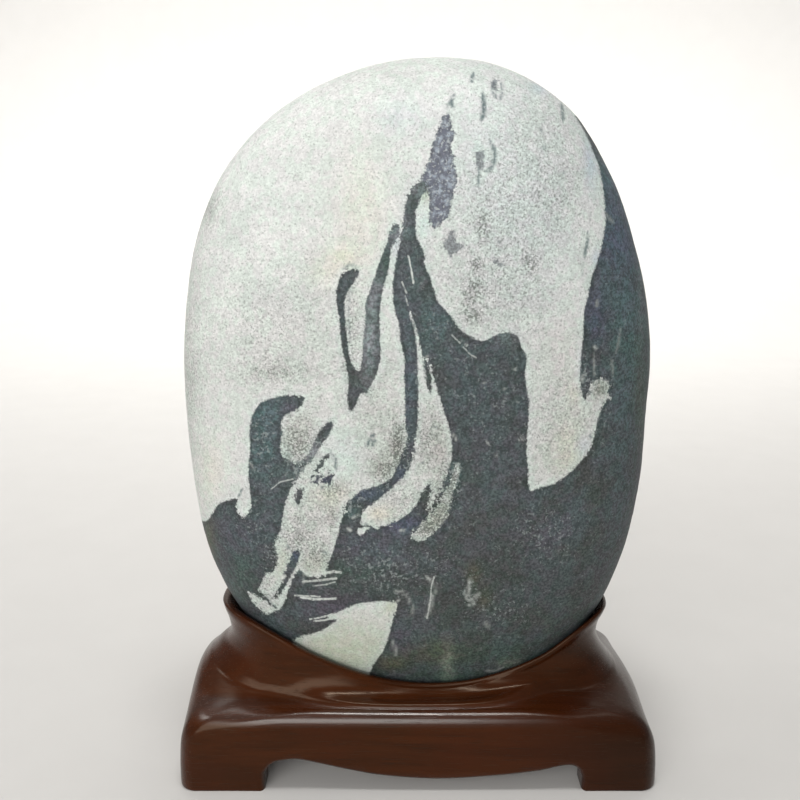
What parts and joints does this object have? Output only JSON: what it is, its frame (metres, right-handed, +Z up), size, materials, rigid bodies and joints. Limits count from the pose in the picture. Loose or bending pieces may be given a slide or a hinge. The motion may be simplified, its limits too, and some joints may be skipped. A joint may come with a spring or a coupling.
{
  "type": "picture stone",
  "caption": "Upright water-worn stone slab with a natural two-tone picture face, resting in the carved socket of a dark hardwood stand.",
  "frame": {"origin": "middle of the stand's footprint, on the surface that the feet rest on", "axes": "+X to the right across the picture face, -Y towards the viewer of that face, +Z up"},
  "size_m": [0.171, 0.0764, 0.2507],
  "materials": {
    "stone_skin": "matt water-worn skin, pale grey-green ground with dark slate-green veins",
    "stand_wood": "satin wax over dark red-brown hardwood"
  },
  "bodies": {
    "root": {"stone": "stone_skin", "stand": "stand_wood"}
  },
  "joints": []
}
